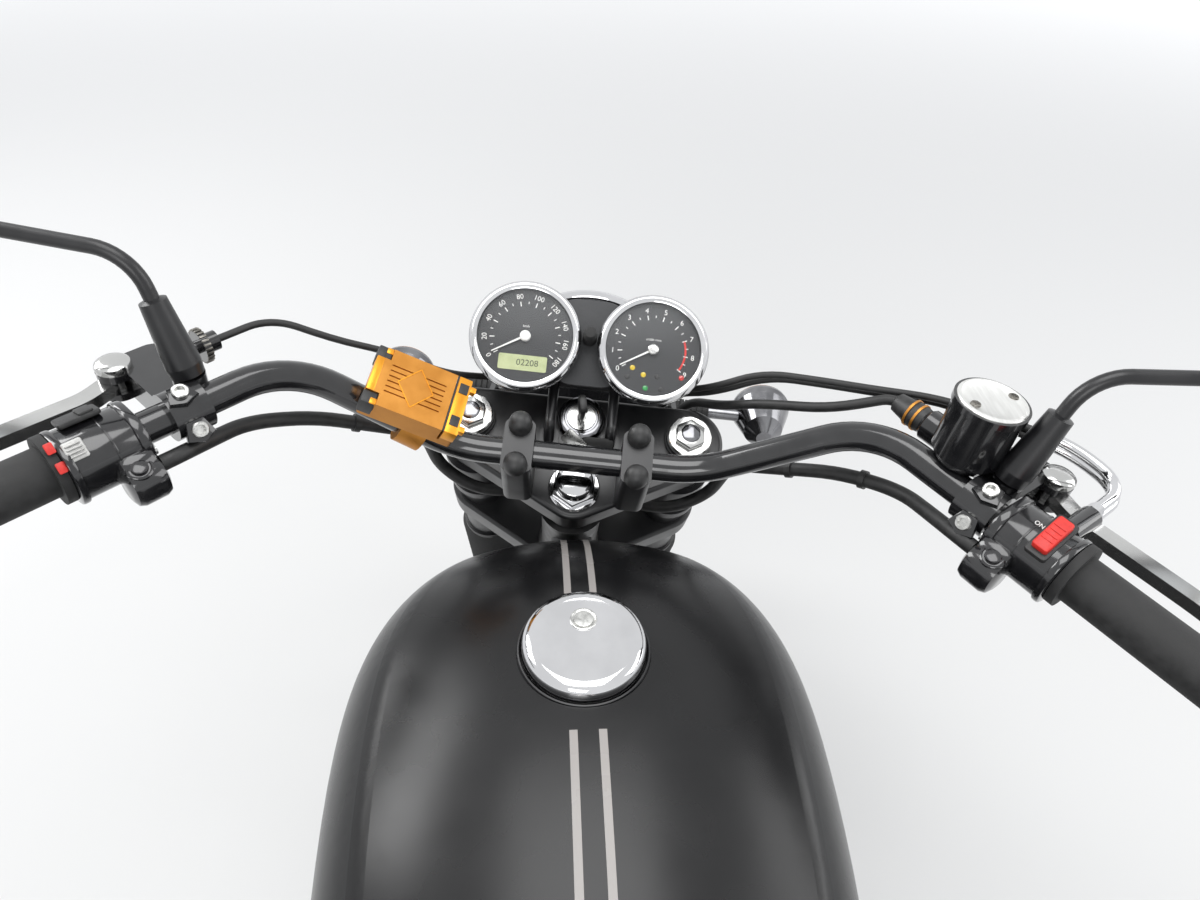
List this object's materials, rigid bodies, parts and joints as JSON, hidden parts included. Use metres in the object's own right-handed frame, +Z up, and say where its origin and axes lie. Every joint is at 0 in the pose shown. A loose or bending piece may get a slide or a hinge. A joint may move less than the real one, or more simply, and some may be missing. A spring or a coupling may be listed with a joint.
{
  "type": "cafe racer motorcycle",
  "caption": "Roadster motorcycle with an upright finned twin engine, wide handlebar, round clocks and headlamp, broad tank and flat seat, on its centre stand.",
  "frame": {"origin": "on the floor below the middle of the motorcycle as it stands", "axes": "+X forward, +Y to the rider's left, +Z up"},
  "size_m": [2.1264, 0.9763, 1.2286],
  "materials": {
    "front_tyre": "ribbed rubber",
    "rear_tyre": "ribbed rubber",
    "front_rim": "polished",
    "rear_rim": "polished",
    "front_hub": "satin, with bright spokes",
    "rear_hub": "satin, with bright spokes",
    "front_brake_disc": "ground",
    "front_axle": "zinc plated",
    "fork_tubes": "gloss black with plated caps",
    "fork_gaiters": "matt",
    "fork_sliders": "satin",
    "brake_caliper": "satin black",
    "front_mudguard": "satin black",
    "top_yoke": "dark grey",
    "bar_clamps": "gloss black",
    "steering_stem": "black with a plated nut",
    "handlebar": "gloss black",
    "grips": "matt",
    "switch_housings": "moulded",
    "clutch_perch": "gloss black",
    "clutch_lever": "polished",
    "brake_master": "gloss black, bright lid",
    "brake_lever": "polished",
    "mirrors": "satin black",
    "clocks": "chrome bezels, black bowls",
    "instrument_plate": "satin black",
    "ignition_switch": "dark plated",
    "charger": "gold anodised",
    "headlamp_shell": "gloss black",
    "headlamp_lens": "clear, in a chrome ring",
    "front_indicators": "dark chrome",
    "brake_hose": "matt",
    "control_cables": "satin sheath",
    "wiring_looms": "wrapped in tape",
    "main_frame": "gloss black",
    "subframe": "gloss black",
    "swingarm": "gloss black",
    "drive_chain": "oiled",
    "rear_sprocket": "ground",
    "rear_shocks": "gloss black",
    "shock_springs": "gloss black",
    "crankcase": "satin black",
    "engine_covers": "polished",
    "cylinders": "black with machined fin edges",
    "cylinder_head": "black with machined fin edges",
    "fuel_tank": "satin black with silver lines",
    "fuel_cap": "polished",
    "seat": "ribbed black",
    "air_box": "moulded",
    "throttle_bodies": "cast",
    "side_covers": "satin black",
    "exhaust": "polished",
    "rear_mudguard": "satin black",
    "tail_lamp": "red lens on a black bracket",
    "plate_holder": "blank plate",
    "rear_indicators": "dark chrome, amber lens",
    "foot_controls": "steel and rubber",
    "horn": "black",
    "centre_stand": "gloss black",
    "side_stand": "gloss black"
  },
  "bodies": {
    "root": {"main_frame": "main_frame", "subframe": "subframe", "swingarm": "swingarm", "drive_chain": "drive_chain", "rear_shocks": "rear_shocks", "shock_springs": "shock_springs", "crankcase": "crankcase", "engine_covers": "engine_covers", "cylinders": "cylinders", "cylinder_head": "cylinder_head", "fuel_tank": "fuel_tank", "seat": "seat", "air_box": "air_box", "throttle_bodies": "throttle_bodies", "side_covers": "side_covers", "exhaust": "exhaust", "rear_mudguard": "rear_mudguard", "tail_lamp": "tail_lamp", "plate_holder": "plate_holder", "rear_indicators": "rear_indicators", "foot_controls": "foot_controls", "horn": "horn"},
    "steering": {"fork_tubes": "fork_tubes", "fork_gaiters": "fork_gaiters", "fork_sliders": "fork_sliders", "front_axle": "front_axle", "brake_caliper": "brake_caliper", "front_mudguard": "front_mudguard", "top_yoke": "top_yoke", "bar_clamps": "bar_clamps", "steering_stem": "steering_stem", "handlebar": "handlebar", "grips": "grips", "switch_housings": "switch_housings", "clutch_perch": "clutch_perch", "clutch_lever": "clutch_lever", "brake_master": "brake_master", "brake_lever": "brake_lever", "mirrors": "mirrors", "clocks": "clocks", "instrument_plate": "instrument_plate", "ignition_switch": "ignition_switch", "charger": "charger", "headlamp_shell": "headlamp_shell", "headlamp_lens": "headlamp_lens", "front_indicators": "front_indicators", "brake_hose": "brake_hose", "control_cables": "control_cables", "wiring_looms": "wiring_looms"},
    "front_wheel": {"front_tyre": "front_tyre", "front_rim": "front_rim", "front_hub": "front_hub", "front_brake_disc": "front_brake_disc"},
    "rear_wheel": {"rear_tyre": "rear_tyre", "rear_rim": "rear_rim", "rear_hub": "rear_hub", "rear_sprocket": "rear_sprocket"},
    "fuel_cap": {"fuel_cap": "fuel_cap"},
    "centre_stand": {"centre_stand": "centre_stand"},
    "side_stand": {"side_stand": "side_stand"}
  },
  "joints": [
    {"name": "steering_turn", "type": "hinge", "parent": "root", "child": "steering", "pos_m": [0.37169, 0, 0.925], "axis": [-0.454, 0, 0.891], "range_deg": [-29, 43]},
    {"name": "front_wheel_spin", "type": "hinge", "parent": "steering", "child": "front_wheel", "pos_m": [0.73464, -0.00659, 0.33082], "axis": [0.1089, 0.9925, 0.055], "continuous": true},
    {"name": "rear_wheel_spin", "type": "hinge", "parent": "root", "child": "rear_wheel", "pos_m": [-0.73, 0, 0.3475], "axis": [0, 1, 0], "continuous": true},
    {"name": "centre_stand_swing", "type": "hinge", "parent": "root", "child": "centre_stand", "pos_m": [-0.285, 0, 0.24], "axis": [0, 1, 0], "range_deg": [0, 88]},
    {"name": "side_stand_swing", "type": "hinge", "parent": "root", "child": "side_stand", "pos_m": [0.02, 0.116, 0.203], "axis": [0, -0.9346, -0.3558], "range_deg": [0, 98]},
    {"name": "fuel_cap_lift", "type": "slide", "parent": "root", "child": "fuel_cap", "axis": [0, 0, 1], "range_m": [0, 0.06]}
  ]
}
